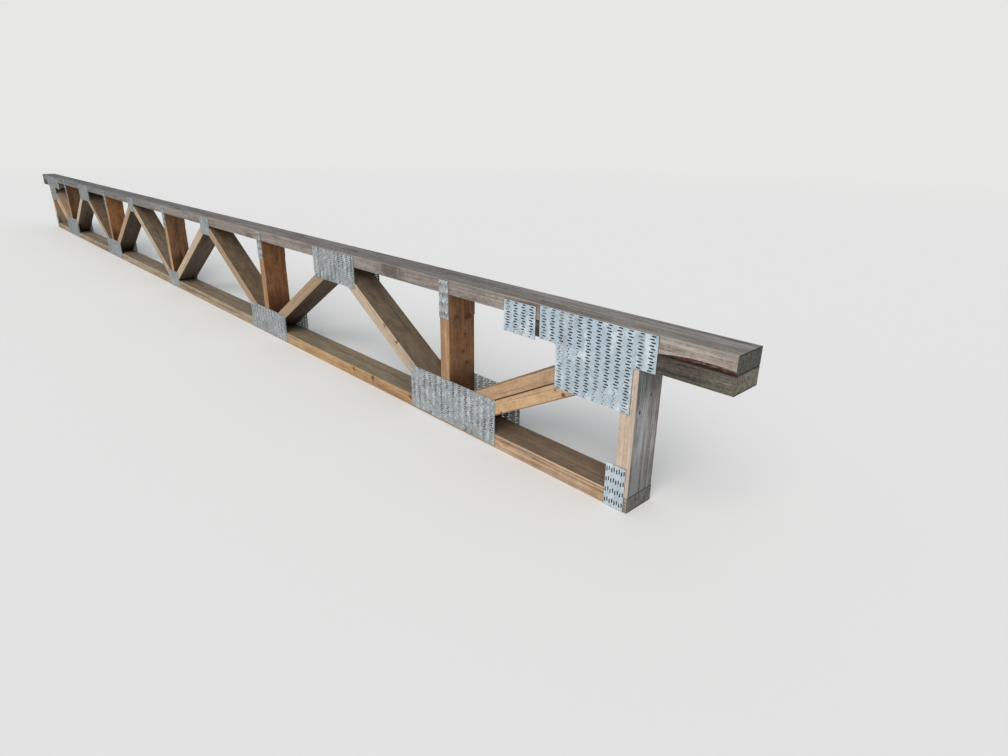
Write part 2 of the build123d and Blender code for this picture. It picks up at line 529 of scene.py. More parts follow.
    def lay_weather(self, weather: Weather) -> None:
        """Lay the weathered tone of one side.

        Args:
            weather: The side and its tone.
        """
        fine = 0.8 * weather.vein
        noises = {"blotch": weather.blotch, "mottle": weather.mottle, "speck": 0.2}
        tone = self.swings(0.45, fibre=fine, vein=weather.vein, streak=fine, **noises)
        grey = self.graded(tone, weather.pale, weather.dark)
        grey = self.mix(self.times(self.crack, weather.crack), grey, self.wood.weathered_crack)
        lain = self.drawn_out(self.blotch, 0.4, 0.3)
        patchy = self.smooth(lain, 0.3, 0.6, weather.amount, weather.amount * 0.8)
        self.lay(self.times(self.facing(weather.side), patchy), grey)

    def lay_worn_and_highlit_edges(self) -> None:
        """Make the long eased edges paler: wear, and a painted highlight along them."""
        side = self.smooth(self.unsigned(self.across), HALF_WIDTH - EASED_EDGE, HALF_WIDTH - 0.001)
        top = self.inward(self.unsigned(self.through), EASED_EDGE, 0.001)
        rubbed_and_highlit = self.smooth(self.streak, 0.32, 0.58, 0.0, self.wood.edge_wear_and_highlight)
        # Wear and painted highlight on the eased long edges
        self.lay(self.times(self.times(side, top), rubbed_and_highlit), self.wood.pale)

    def lay_edge_shade_and_wane(self) -> None:
        """Lay the painted seam shade and the edge band along an edge, and the wane's tone."""
        wood = self.wood
        # Painted shade: a dark line along the edge that meets the next stacked board, where the groove lies
        # in shade
        if wood.seam_shade_side:
            self.lay(self.inward(self.times(self.through, wood.seam_shade_side), 0.0028, 0.0008, 0.9), wood.seam)
        # Edge band on the front and back faces: weathered grey on the end posts, painted shade on the end
        # webs, standing in for their shaded top and bottom faces
        if wood.edge_grey_and_shade_side:
            reach = self.swings(self.times(self.through, wood.edge_grey_and_shade_side), streak=0.004)
            band = self.inward(reach, 0.0055, 0.001, 0.8)
            self.lay(self.times(band, self.square_to(BACK, 0.35, 0.85)), wood.edge_grey_and_shade)
        if wood.wane:
            past = self.smooth(self.along, wood.wane.start - 0.001, wood.wane.start + 0.001)
            bark = self.mix(self.smooth(self.vein, 0.38, 0.55), wood.wane.dark, wood.wane.mid)
            self.lay(self.times(self.facing(wood.wane.side, 0.93, 0.985), past), bark)

    def lay_sawn_ends(self) -> None:
        """Lay the sawn ends: rings, saw marks, flecks, blotches and the painted shade of their seams."""
        saw = self.noise(self.mapping(self.local, (1, 420, 40), turn=(0.55, 0, 0)), 1.0, 3, 0.6)
        fleck = self.noise(self.local, (1, 130, 130), 5, 0.7)
        tone = self.total(0.32, self.times(self.ring, 0.22), self.swing(saw, 0.5), self.swing(fleck, 0.75))
        colour = self.graded(self.swings(tone, blotch=0.3), self.wood.end_pale, self.wood.end_dark)
        # Painted shade: dark lines along the sawn end's two long edges, as shade in the seams
        seam = self.inward(self.unsigned(self.through), 0.0045, 0.0005, 0.85)
        self.lay(self.square_to(self.length_way, 0.25, 0.4), self.mix(seam, colour, self.wood.end_seam_shade))

    def lay_crushed_and_shaded(self, cover: Cover, cluster: Socket) -> None:
        """Lay the crushed, stained wood under one nail plate, darkened also as painted shade, and a thin
        painted shadow round the plate.

        Args:
            cover: Where the plate lies.
            cluster: Noise that tells dark groups of slots from pale ones.
        """
        edge = 0.5 + (0.5 - cover.pale_share) * 0.36
        crushed_and_shaded = self.mix(self.smooth(cluster, edge - 0.03, edge + 0.03), self.wood.under_plate_stain_and_shade, cover.pale)
        middle, half = (cover.low + cover.high) / 2, (cover.high - cover.low) / 2
        off = self.vector("ABSOLUTE", self.vector("SUBTRACT", self.place, tuple(middle)))
        inside_x, _, inside_z = self.split(self.vector("SUBTRACT", tuple(half), off))
        inside = self.math("MINIMUM", inside_x, inside_z)
        flat = self.square_to(BACK, 0.6, 0.9)
        # Painted shadow fading out 3.5 mm round the plate, and the wood under the plate darkened: stain and
        # painted shade
        self.lay(self.times(self.smooth(inside, -0.0035, 0.0, 0.0, 0.45), flat), self.wood.under_plate_stain_and_shade)
        self.lay(self.times(self.smooth(inside, -0.0004, 0.0004, 0.0, 0.93), flat), crushed_and_shaded)


HONEY = Lumber(
    pale=(0.63, 0.415, 0.245), dark=(0.375, 0.205, 0.098), stain=(0.40, 0.235, 0.14),
    ring_contrast=0.13, fibre_contrast=0.2, vein_contrast=0.16, streak_contrast=0.16,
    speck_contrast=0.3, mottle_contrast=0.5, knot_share=0.2, knot_colour=(0.16, 0.065, 0.028),
    seam=(0.05, 0.022, 0.010),
)
DULL_HONEY = replace(HONEY, pale=(0.535, 0.35, 0.21), dark=(0.31, 0.18, 0.095), patch_grey=0.35)
STRAW = Lumber(
    pale=(0.60, 0.475, 0.345), dark=(0.33, 0.235, 0.15), stain=(0.25, 0.185, 0.13), patch_grey=0.25,
    grey=(0.28, 0.25, 0.21),
)
WARM_STRAW = replace(STRAW, pale=(0.44, 0.32, 0.20), dark=(0.24, 0.15, 0.085))
PEACH = Lumber(
    pale=(0.66, 0.53, 0.42), dark=(0.43, 0.30, 0.205), stain=(0.42, 0.26, 0.16), stain_amount=0.3,
    ring_contrast=0.14, knot_colour=(0.06, 0.045, 0.035), knot_share=0.1, speck_contrast=0.4,
    edge_wear_and_highlight=0.4,
)
# Web posts' side faces: russet wood kept darker as painted shade; the tones darken both sides further towards
# the foot, as painted shade
RUSSET = Lumber(
    pale=(0.265, 0.130, 0.057), dark=(0.066, 0.030, 0.014), stain=(0.045, 0.020, 0.010),
    stain_amount=0.7, ring_contrast=0.2, mottle_contrast=0.5, knot_share=0.8,
    knot_colour=(0.080, 0.032, 0.015),
    tones=tuple(Tone(-0.01, -0.08, (0.48, 0.42, 0.36), (side, 0, 0)) for side in (1, -1)),
)
TAN = Lumber(
    pale=(0.590, 0.435, 0.295), dark=(0.260, 0.145, 0.074), stain=(0.22, 0.13, 0.085),
    stain_amount=0.5, patch_grey=0.25, end_pale=(0.172, 0.165, 0.152),
    end_dark=(0.036, 0.034, 0.029), edge_wear_and_highlight=0.95, ring_step=0.0045, ring_contrast=0.36,
    vein_contrast=0.42, streak_contrast=0.5, mottle_contrast=0.32,
)
DRIFT = Lumber(
    pale=(0.42, 0.355, 0.295), dark=(0.17, 0.125, 0.09), stain=(0.12, 0.10, 0.085),
    stain_amount=0.6, patch_grey=0.45, grey=(0.24, 0.23, 0.215), ring_contrast=0.25,
    speck_contrast=0.45, crack_amount=0.5,
)


@dataclass(frozen=True)
class Zinc:
    """Galvanised sheet: spangle, bloom, flecks, stains and smears, with dark cut edges: bare steel, and
    painted shade on the slot walls and the teeth's shanks.
    """

    pale: Colour = (0.525, 0.62, 0.695)
    dark: Colour = (0.335, 0.405, 0.455)
    bloom: Colour = (0.86, 0.92, 0.95)
    bloom_amount: float = 0.55
    stain: Colour = (0.24, 0.25, 0.245)
    stain_amount: float = 0.55
    fleck_amount: float = 0.0
    smear: Colour = (0.26, 0.225, 0.175)
    smear_amount: float = 0.0
    cut_edge_and_slot_shade: Colour = (0.06, 0.063, 0.063)
    middle_light: float = 0.78
    light_rise: float = 0.085

    def steel(self, name: str, seed: int) -> Material:
        """Build the steel of one plate, darker towards the truss's left end.

        Args:
            name: Name of the material.
            seed: Number that moves the pattern so that no two plates match.

        Returns:
            The material.
        """
        skin = Skin(name)
        place = skin.vector("ADD", skin.place, (seed * 2.3 % 9.0, seed * 1.7 % 5.0, seed * 3.1 % 7.0))
        crystal, turn, _ = skin.split(skin.cells(place, 95.0)["Color"])
        cloud = skin.noise(place, 22.0, 4, 0.62)
        grain = skin.noise(place, 420.0, 3, 0.6)
        streak = skin.noise(place, (70, 70, 6), 3, 0.55)
        tone = skin.total(0.5, skin.around(crystal, 0.4), skin.swing(cloud, 0.5), skin.swing(grain, 0.45))
        skin.colour = skin.graded(tone, self.pale, self.dark)
        bloom = skin.total(cloud, skin.around(streak, 0.5), skin.around(grain, 0.6))
        bloom = skin.smooth(bloom, 0.5, 0.68, 0.0, self.bloom_amount)
        skin.lay(bloom, self.bloom)
        fleck = skin.noise(place, (150, 150, 90), 3, 0.7)
        skin.lay(skin.smooth(fleck, 0.53, 0.60, 0.0, self.fleck_amount), self.bloom)
        dry = skin.total(skin.math("SUBTRACT", 1.0, cloud), skin.around(streak, 0.6), skin.around(grain, 0.5))
        stain = skin.smooth(dry, 0.52, 0.78, 0.0, self.stain_amount)
        skin.lay(stain, self.stain)
        smear = skin.noise(place, (9, 9, 16), 5, 0.65)
        skin.lay(skin.smooth(smear, 0.52, 0.64, 0.0, self.smear_amount), self.smear)
        light = skin.math("MULTIPLY_ADD", skin.split(skin.place)[0], self.light_rise, self.middle_light)
        skin.colour = skin.scaled(skin.colour, skin.math("MINIMUM", light, 1.0))
        # Faces square to the sheet, the cut edges, slot walls and teeth's shanks, turned dark: bare steel and
        # painted shade
        skin.lay(skin.square_to(BACK, 0.3, 0.7, 0.92, 0.0), self.cut_edge_and_slot_shade)
        roughness = skin.total(0.5, skin.around(turn, 0.12), skin.times(bloom, 0.3), skin.times(stain, 0.3))
        height = skin.total(skin.times(grain, 0.3), skin.times(cloud, 1.2), skin.times(turn, 0.15))
        return skin.finish(roughness, height, relief=0.0005, metallic=0.25, specular=0.35)


BRIGHT_ZINC = Zinc()
CLEAN_ZINC = replace(BRIGHT_ZINC, pale=(0.60, 0.69, 0.75), cut_edge_and_slot_shade=(0.03, 0.03, 0.03))
DULL_ZINC = Zinc(
    pale=(0.38, 0.425, 0.445), dark=(0.225, 0.255, 0.265), bloom=(0.66, 0.69, 0.69),
    bloom_amount=0.5, stain=(0.17, 0.16, 0.145), stain_amount=0.6, fleck_amount=0.8,
    smear_amount=0.45, cut_edge_and_slot_shade=(0.27, 0.285, 0.285),
)
DIM_ZINC = replace(DULL_ZINC, pale=(0.345, 0.39, 0.41), dark=(0.195, 0.225, 0.24))
WORN_ZINC = replace(
    DULL_ZINC, pale=(0.46, 0.495, 0.52), dark=(0.235, 0.25, 0.255), cut_edge_and_slot_shade=(0.08, 0.08, 0.08)
)


@dataclass(frozen=True)
class Bark:
    """Dry inner bark: dark red-brown flakes with paler torn crests."""

    dark: Colour = (0.030, 0.018, 0.013)
    mid: Colour = (0.165, 0.078, 0.053)
    crest: Colour = (0.42, 0.31, 0.25)

    def skin(self, name: str) -> Material:
        """Build the bark.

        Args:
            name: Name of the material.

        Returns:
            The material.
        """
        skin = Skin(name)
        flake = skin.noise(skin.place, (75, 190, 190), 5, 0.68)
        fibre = skin.noise(skin.place, (60, 900, 900))
        skin.colour = skin.mix(skin.smooth(flake, 0.36, 0.5), self.dark, self.mid)
        skin.lay(skin.smooth(skin.total(flake, skin.around(fibre, 0.3)), 0.56, 0.66), self.crest)
        return skin.finish(0.9, skin.total(flake, fibre), relief=0.0012, metallic=0.0, specular=0.2)


def deselect() -> None:
    """Leave edit mode and deselect every object."""
    if bpy.context.object and bpy.context.object.mode != "OBJECT":
        bpy.ops.object.mode_set(mode="OBJECT")
    bpy.ops.object.select_all(action="DESELECT")


def pick(piece: Piece) -> None:
    """Make one object the only selected and active one."""
    deselect()
    piece.select_set(True)
    bpy.context.view_layer.objects.active = piece


def select_where(piece: Piece, kind: str, test: Callable[[Vector], bool]) -> None:
    """Enter edit mode with only some vertices, edges or faces selected.

    Args:
        piece: Mesh object.
        kind: VERT, EDGE or FACE.
        test: Tells from a mesh element's middle whether it is selected.
    """
    pick(piece)
    bpy.ops.object.mode_set(mode="EDIT")
    bpy.ops.mesh.select_mode(type=kind)
    bpy.ops.mesh.select_all(action="DESELECT")
    bpy.ops.object.mode_set(mode="OBJECT")
    mesh = piece.data
    for element in {"VERT": mesh.vertices, "EDGE": mesh.edges, "FACE": mesh.polygons}[kind]:
        corners = [element.index] if kind == "VERT" else element.vertices
        element.select = test(sum((mesh.vertices[i].co for i in corners), Vector()) / len(corners))
    bpy.ops.object.mode_set(mode="EDIT")


def apply_modifiers(piece: Piece) -> None:
    """Apply every modifier of a piece."""
    pick(piece)
    for modifier in list(piece.modifiers):
        bpy.ops.object.modifier_apply(modifier=modifier.name)


def settle(piece: Piece) -> None:
    """Put a piece's place, turn and scale into its mesh."""
    pick(piece)
    bpy.ops.object.transform_apply(location=True, rotation=True, scale=True)


def copy_of(piece: Piece, name: str) -> Piece:
    """Copy a piece, with a mesh of its own.

    Args:
        piece: Mesh object.
        name: Name of the copy.

    Returns:
        The copy.
    """
    twin = piece.copy()
    twin.data = piece.data.copy()
    twin.name = name
    bpy.context.scene.collection.objects.link(twin)
    return twin


def joined(parts: list[Piece], name: str) -> Piece:
    """Join several meshes into one piece.

    Args:
        parts: Meshes to join.
        name: Name of the joined piece.

    Returns:
        The joined piece.
    """
    pick(parts[0])
    for part in parts:
        part.select_set(True)
    bpy.ops.object.join()
    parts[0].name = parts[0].data.name = name
    return parts[0]


def coat(piece: Piece, material: Material) -> None:
    """Give a piece one material."""
    piece.data.materials.clear()
    piece.data.materials.append(material)


# Pale share and pale colour of the wood in the slots, by the first word of the plate's name
SLOT_WOOD = {
    "bottom": (0.66, (0.34, 0.345, 0.34)),
    "top": (0.56, (0.32, 0.325, 0.32)),
    "end": (0.38, (0.25, 0.23, 0.205)),
    "doubler": (0.38, (0.25, 0.23, 0.205)),
    "post": (0.5, (0.30, 0.29, 0.27)),
    "foot": (0.1, (0.25, 0.23, 0.205)),
}

# Knots seen in the photo: along, across and through from the board's middle, and radius
KNOWN_KNOTS = {
    "bottom_chord": (
        (1.752, -0.0444, 0.0085, 0.008),
        (1.866, -0.0444, 0.0096, 0.009),
        (2.068, -0.0444, 0.008, 0.007),
    ),
    "end_post_right": ((0.048, -0.030, -0.019, 0.0045), (0.078, 0.007, -0.019, 0.0035)),
    "end_post_left": ((0.048, -0.030, 0.019, 0.0045), (0.078, 0.007, 0.019, 0.0035)),
    "lower_end_web_right": (
        (0.124, -0.0444, -0.011, 0.0062),
        (0.104, -0.0444, 0.004, 0.0032),
        (-0.101, -0.0444, -0.018, 0.0055),
    ),
    "web_board_1": ((0.006, -0.0444, -0.018, 0.0075), (-0.063, -0.0444, -0.018, 0.008)),
    "web_post_1": (
        (0.101, -0.0165, -0.019, 0.0075),
        (0.098, 0.023, -0.019, 0.010),
        (0.050, 0.010, -0.019, 0.0045),
        (0.003, 0.003, -0.019, 0.0055),
        (-0.031, 0.013, -0.019, 0.0045),
    ),
}


def slot_blocks(node: str) -> list[tuple[Vector, Vector]]:
    """Read a plate's rectangles of slots.

    Args:
        node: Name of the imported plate.

    Returns:
        The lowest and highest corners of the plate, or of an end plate's band and stem.
    """
    low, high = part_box(node)
    if not node.startswith("end_plate"):
        return [(low, high)]
    shoulder = high.z - END_BAND_ROWS * ROW_PITCH
    notch = END_NOTCH_SLOTS * SLOT_PITCH
    stem = Vector((low.x + notch, low.y, low.z)), Vector((high.x - notch, high.y, shoulder))
    return [(Vector((low.x, low.y, shoulder)), high), stem]


def plates_on(node: str) -> list[Cover]:
    """Find the parts of a board's faces that lie under nail plates.

    Args:
        node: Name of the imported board.

    Returns:
        One cover for each rectangle of a front plate that reaches the board.
    """
    low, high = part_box(node)
    plates = [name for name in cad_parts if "plate" in name and not name.endswith("_back")]
    return [
        Cover(start, end, *SLOT_WOOD[name.split("_")[0]])
        for name in plates
        for start, end in slot_blocks(name)
        if start.x <= high.x and end.x >= low.x and start.z <= high.z and end.z >= low.z
    ]


@dataclass
class Board:
    """One packed board and the wood it is dressed in.

    A sloping board is given its foot and head. Any other one's are read from its packed box.
    """

    node: str
    wood: Lumber
    seed: int
    foot: Vector | None = None
    head: Vector | None = None

    def dress(self) -> None:
        """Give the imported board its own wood, turned to its length."""
        low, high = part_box(self.node)
        foot, head = self.foot, self.head
        if foot is None:
            middle, size = (low + high) / 2, high - low
            reach = Vector((size.x / 2, 0, 0)) if size.x > size.z else Vector((0, 0, size.z / 2))
            foot, head = middle - reach, middle + reach
        run = head - foot
        turn = math.atan2(-run.z, run.x)
        covers = plates_on(self.node)
        knots = KNOWN_KNOTS.get(self.node, ())
        skin = WoodSkin(self.wood, f"{self.node}_wood", (foot + head) / 2, turn, self.seed, knots)
        coat(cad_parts[self.node], skin.dress(covers))
        log.info("%s: wood on a board %.3f m long under %d plates", self.node, run.length, len(covers))


@dataclass
class Layout:
    """Stations and levels of the boards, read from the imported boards."""

    posts: list[float]
    peaks: list[float]
    web_foot: float
    web_head: float
    end_head: float
    half_body: float

    @classmethod
    def read(cls) -> "Layout":
        """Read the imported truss.

        Returns:
            The layout.
        """
        boxes = [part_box(f"web_post_{i}") for i in range(1, 6)]
        posts = [(low.x + high.x) / 2 for low, high in boxes]
        peaks = [(a + b) / 2 for a, b in zip(posts, posts[1:])]
        end_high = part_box("end_post_right")[1]
        return cls(posts, peaks, boxes[0][0].z, boxes[0][1].z, end_high.z, end_high.x)


@dataclass
class Chords:
    """Top chord, bottom chord and the doublers under the bearing ends."""

    top: Lumber = replace(
        DRIFT,
        pale=(0.46, 0.405, 0.355), dark=(0.20, 0.155, 0.12),
        weather=(Weather(UP, (0.25, 0.24, 0.225), (0.065, 0.06, 0.053), amount=0.95),),
        tones=(
            Tone(2.55, 2.35, (0.73, 0.72, 0.73)),
            Tone(2.97, 3.03, (0.82, 0.78, 0.75), FRONT),
            Tone(1.2, -1.8, (0.68, 0.76, 0.82)),
        ),
        blots=((1.995, -0.0444, 0.002, 0.030), (1.03, -0.0444, -0.012, 0.018), (-0.62, 0.0444, 0.004, 0.026)),
        wane=Wane(),
    )
    bottom: Lumber = replace(
        TAN,
        # Top face: weathered brown, darkened also as painted shade
        weather=(
            Weather(
                UP, (0.145, 0.095, 0.061), (0.074, 0.047, 0.030),
                amount=0.95, vein=0.18, blotch=0.3, crack=0.4,
            ),
        ),
        tones=(
            Tone(2.6, 2.1, (0.90, 0.78, 0.62), FRONT),
            Tone(2.6, 2.1, (0.90, 0.78, 0.62), BACK),
            Tone(1.5, 1.0, (0.79, 1.00, 1.28), FRONT),
            Tone(1.5, 1.0, (0.79, 1.00, 1.28), BACK),
            Tone(2.5, 2.1, (1.12, 1.28, 1.30), UP),
            Tone(1.5, 0.5, (0.88, 0.88, 0.90), UP),
            Tone(2.822, 2.838, (0.72, 0.86, 1.02)),
            Tone(-2.822, -2.838, (0.72, 0.86, 1.02)),
        ),
        knot_colour=(0.15, 0.075, 0.035),
    )
    doubler: Lumber = replace(
        DRIFT,
        pale=(0.197, 0.178, 0.142), dark=(0.033, 0.027, 0.020), patch_grey=0.5,
        grey=(0.10, 0.096, 0.085), end_pale=(0.20, 0.175, 0.14), end_dark=(0.03, 0.026, 0.02),
        seam_shade_side=1.0, tones=(Tone(0.28, 0.19, (0.52, 0.50, 0.47)),),
    )

    def dress(self) -> None:
        """Dress the chords and doublers."""
        for node, wood, seed in (
            ("top_chord", self.top, 3),
            ("bottom_chord", self.bottom, 8),
            ("chord_doubler_right", self.doubler, 14),
            ("chord_doubler_left", self.doubler, 21),
        ):
            Board(node, wood, seed).dress()


@dataclass
class BearingEnd:
    """End post and the two stacked web boards of one end."""

    side: str
    layout: Layout
    seed: int
    dim: Colour = (0.66, 0.66, 0.64)
    # Weathered grey of the band along the end post's outer front edge
    edge_grey_and_shade: Colour = (0.42, 0.38, 0.335)

    def dress(self) -> None:
        """Dress the end post and both end web boards."""
        sign = 1.0 if self.side == "right" else -1.0
        way = (sign, 0, 0)
        outer = Weather(
            way, (0.325, 0.335, 0.355), (0.085, 0.085, 0.086),
            amount=1.0, vein=0.7, blotch=0.3, crack=0.6, mottle=0.3,
        )
        inner = Weather((-sign, 0, 0), (0.24, 0.165, 0.11), (0.12, 0.075, 0.045))
        tones = (Tone(-0.02, -0.10, self.dim, way), Tone(0.04, 0.10, self.dim, way))
        post = replace(PEACH, weather=(outer, inner), tones=tones, edge_grey_and_shade_side=-sign, edge_grey_and_shade=self.edge_grey_and_shade)
        Board(f"end_post_{self.side}", post, self.seed).dress()
        foot = Vector((sign * (abs(self.layout.posts[0]) + HALF_THICKNESS), 0, self.layout.web_foot))
        head = Vector((sign * (self.layout.half_body - BOARD_THICKNESS), 0, self.layout.end_head))
        run = (head - foot).normalized()
        over = Vector((-run.z, 0, run.x)) * sign * HALF_THICKNESS
        upward = Weather(UP, (0.30, 0.21, 0.145), (0.15, 0.095, 0.06), amount=0.85)
        weather = (upward, replace(upward, side=DOWN))
        for name, offset, step, wood in (("lower", -over, 1, HONEY), ("upper", over, 2, DULL_HONEY)):
            inward = -sign if name == "upper" else sign
            wood = replace(wood, weather=weather, seam_shade_side=inward, edge_grey_and_shade_side=-inward)
            Board(f"{name}_end_web_{self.side}", wood, self.seed + step, foot + offset, head + offset).dress()


@dataclass
class WebRun:
    """Web posts and the sloping web boards between them."""

    layout: Layout
    # Brightness of each web post's wood: tone that differs from post to post, and painted shade on the darker
    # ones
    post_tone_and_shade: tuple[float, ...] = (1.0, 1.0, 0.85, 1.15, 0.65)
    even_post: tuple[Colour, Colour] = ((0.25, 0.107, 0.036), (0.072, 0.028, 0.010))
    pale_boards: tuple[int, ...] = (1, 4, 5, 8)

    def dress(self) -> None:
        """Dress the posts and the web boards, from the right end to the left."""
        front = Weather(FRONT, (0.48, 0.30, 0.17), (0.24, 0.125, 0.06), amount=0.97, crack=0.1)
        odd_wood = replace(RUSSET, weather=(front, replace(front, side=BACK)))
        even_wood = replace(odd_wood, pale=self.even_post[0], dark=self.even_post[1])
        for number, tone in enumerate(self.post_tone_and_shade, 1):
            wood = odd_wood if number % 2 else even_wood
            wood = replace(wood, pale=tuple(tone * part for part in wood.pale))
            Board(f"web_post_{number}", wood, 30 + 3 * number).dress()
        # Upper and lower faces of the web boards: weathered wood, darkened also as painted shade, the lower
        # faces most
        upper = Weather(
            UP, (0.098, 0.065, 0.038), (0.030, 0.019, 0.011),
            amount=0.98, vein=0.14, blotch=0.7, crack=0.6, mottle=0.7,
        )
        lower = Weather(
            DOWN, (0.036, 0.019, 0.008), (0.011, 0.006, 0.003),
            amount=0.98, vein=0.2, blotch=0.6, crack=0.6, mottle=0.5,
        )
        ends = [
            (peak, post, side)
            for i, peak in enumerate(self.layout.peaks)
            for post, side in ((self.layout.posts[i], -1), (self.layout.posts[i + 1], 1))
        ]
        for number, (peak, post, side) in enumerate(ends, 1):
            wood = replace(STRAW if number in self.pale_boards else WARM_STRAW, weather=(upper, lower))
            foot = Vector((post + side * HALF_THICKNESS, 0, self.layout.web_foot))
            head = Vector((peak, 0, self.layout.web_head))
            Board(f"web_board_{number}", wood, 50 + 7 * number, foot, head).dress()


@dataclass
class PlateTeeth:
    """The teeth that were punched out of the plates' slots and pressed into the wood."""

    length: float = 0.0084
    width: float = 0.0027
    shank: float = 0.0050
    point_width: float = 0.16
    point_thickness: float = 0.7
    point_off: float = 0.3
    lip: float = 0.0007
    sunk: float = 0.00015
    bend: float = 0.00065
    pair: Piece | None = None

    def model_pair(self) -> None:
        """Model the two teeth of one slot, centred on the origin in X and Z."""
        deselect()
        front = -HALF_WIDTH - PLATE_THICKNESS + self.sunk
        end = front + self.shank
        inner = SLOT_LENGTH / 2 - self.lip
        middle = (inner + PLATE_THICKNESS / 2, front + self.shank / 2, 0)
        bpy.ops.mesh.primitive_cube_add(size=1, location=middle)
        tooth = bpy.context.object
        tooth.name = "tooth"
        tooth.scale = (PLATE_THICKNESS, self.shank, self.width)
        settle(tooth)
        select_where(tooth, "EDGE", lambda at: at.y < front + NEAR and at.x < inner + NEAR)
        bpy.ops.mesh.bevel(offset=self.bend, segments=2, affect="EDGES")
        select_where(tooth, "FACE", lambda at: at.y > end - NEAR)
        bpy.ops.mesh.extrude_region_move(TRANSFORM_OT_translate={"value": (0, self.length - self.shank, 0)})
        bpy.ops.transform.resize(
            value=(self.point_thickness, 1, self.point_width),
            center_override=(inner, front + self.length, self.width * self.point_off),
        )
        deselect()
        twin = copy_of(tooth, "tooth_twin")
        twin.rotation_euler = (0, math.pi, 0)
        settle(twin)
        self.pair = joined([tooth, twin], "slot_teeth")

    def fill(self, node: str, low: Vector, high: Vector, way: SlotWay) -> list[Piece]:
        """Repeat the pair of teeth over a rectangle of slots.

        Args:
            node: Name of the plate.
            low: Lowest corner of the rectangle.
            high: Its highest corner.
            way: Which way the slots run.

        Returns:
            One object for the even rows and one for the odd rows.
        """
        made = []
        upright = way is SlotWay.UPRIGHT
        order = -1 if upright else 1
        stagger = ROW_STAGGER / 2 * (-1 if "_left" in node and not upright else 1)
        length, _, height = tuple(high - low)[::order]
        columns, rows = round(length / SLOT_PITCH), round(height / ROW_PITCH)
        for parity, shift in ((0, -stagger), (1, stagger)):
            start = (SLOT_PITCH / 2 + shift, 0, ROW_PITCH * (parity + 0.5))
            part = copy_of(self.pair, f"{node}_{parity}")
            part.rotation_euler = (0, math.pi / 2 if upright else 0, 0)
            part.location = Vector((low.x, 0, low.z)) + Vector(start[::order])
            settle(part)
            steps = ((columns, (SLOT_PITCH, 0, 0)), ((rows + 1 - parity) // 2, (0, 0, 2 * ROW_PITCH)))
            for count, step in steps:
                repeat = part.modifiers.new("repeat", "ARRAY")
                repeat.use_relative_offset = False
                repeat.use_constant_offset = True
                repeat.constant_offset_displace = step[::order]
                repeat.count = count
            apply_modifiers(part)
            made.append(part)
        return made

    def plate(self, node: str, blocks: list[tuple[Vector, Vector]], way: SlotWay, steel: Material) -> None:
        """Model the teeth of a plate on the front face and its twin on the back.

        Args:
            node: Name of the plates, without front or back.
            blocks: Corners of the plate's rectangles of slots.
            way: Which way the slots run.
            steel: Steel of the plate.
        """
        parts = [part for low, high in blocks for part in self.fill(node, low, high, way)]
        piece = joined(parts, f"{node}_teeth")
        mirror = piece.modifiers.new("other_face", "MIRROR")
        mirror.use_axis = (False, True, False)
        mirror.use_mirror_merge = False
        apply_modifiers(piece)
        coat(piece, steel)
        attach(piece, BODY)
        log.info("%s: %d faces", piece.name, len(piece.data.polygons))


@dataclass
class NailPlates:
    """Every nail plate of the truss, dressed in zinc, with its teeth."""

    teeth: PlateTeeth = field(default_factory=PlateTeeth)
    seed: int = 0

    def plates(self, name: str, finish: Zinc, way: SlotWay = SlotWay.LEVEL) -> None:
        """Dress a plate and its twin, and model their teeth.

        Args:
            name: Name of the pair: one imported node, or without the front and back of two.
            finish: Zinc of the pair.
            way: Which way the slots run.
        """
        nodes = [name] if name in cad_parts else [f"{name}_front", f"{name}_back"]
        for node in nodes:
            self.seed += 1
            steel = finish.steel(f"{node}_steel", self.seed)
            coat(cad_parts[node], steel)
            log.info("%s: zinc", node)
        self.teeth.plate(name, slot_blocks(nodes[0]), way, steel)

    def dress(self) -> None:
        """Dress every plate and model its teeth."""
        self.teeth.model_pair()
        for side in ("right", "left"):
            near = side == "right"
            self.plates(f"end_plate_{side}", BRIGHT_ZINC if near else DULL_ZINC)
            self.plates(f"doubler_plate_{side}", BRIGHT_ZINC if near else DULL_ZINC)
            self.plates(f"foot_plate_{side}", CLEAN_ZINC if near else DULL_ZINC, SlotWay.UPRIGHT)
        for i in range(1, 6):
            self.plates(f"bottom_plate_{i}", DULL_ZINC)
            self.plates(f"post_plates_{i}", WORN_ZINC, SlotWay.UPRIGHT)
        for i in range(1, 5):
            self.plates(f"top_plate_{i}", DIM_ZINC)
        bpy.data.objects.remove(self.teeth.pair)


